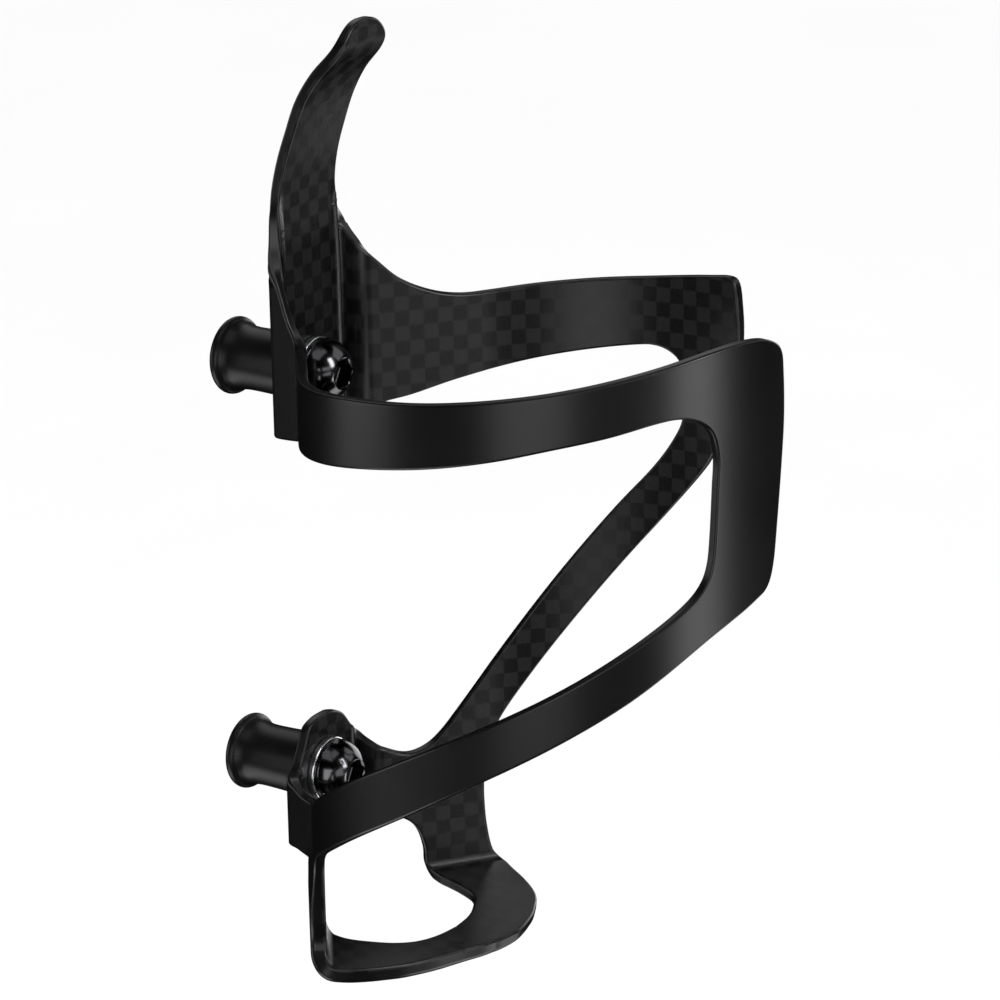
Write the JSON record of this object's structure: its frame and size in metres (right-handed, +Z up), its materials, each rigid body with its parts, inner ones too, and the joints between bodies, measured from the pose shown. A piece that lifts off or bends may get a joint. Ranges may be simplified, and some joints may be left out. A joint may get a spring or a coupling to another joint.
{
  "type": "bicycle bottle cage",
  "caption": "Side-entry laminate bottle cage for a bicycle with its bolts, washers, rubber stand-off sleeves and their inserts.",
  "frame": {"origin": "midway between the two mounting bolts, on the plane that the sleeves' flanges rest on", "axes": "+Y from the bicycle tube to the bottle, +Z up along the tube, +X towards the long arm"},
  "size_m": [0.0768, 0.1001, 0.1423],
  "materials": {
    "carbon": "satin black carbon laminate with a faint weave",
    "bolt_black": "glossy black",
    "washer_zinc": "bright",
    "sleeve_rubber": "satin black",
    "insert_metal": "bright"
  },
  "bodies": {
    "root": {"cage_body": "carbon", "upper_bolt": "bolt_black", "lower_bolt": "bolt_black", "upper_washer": "washer_zinc", "lower_washer": "washer_zinc", "upper_sleeve": "sleeve_rubber", "lower_sleeve": "sleeve_rubber", "upper_insert": "insert_metal", "lower_insert": "insert_metal"}
  },
  "joints": []
}
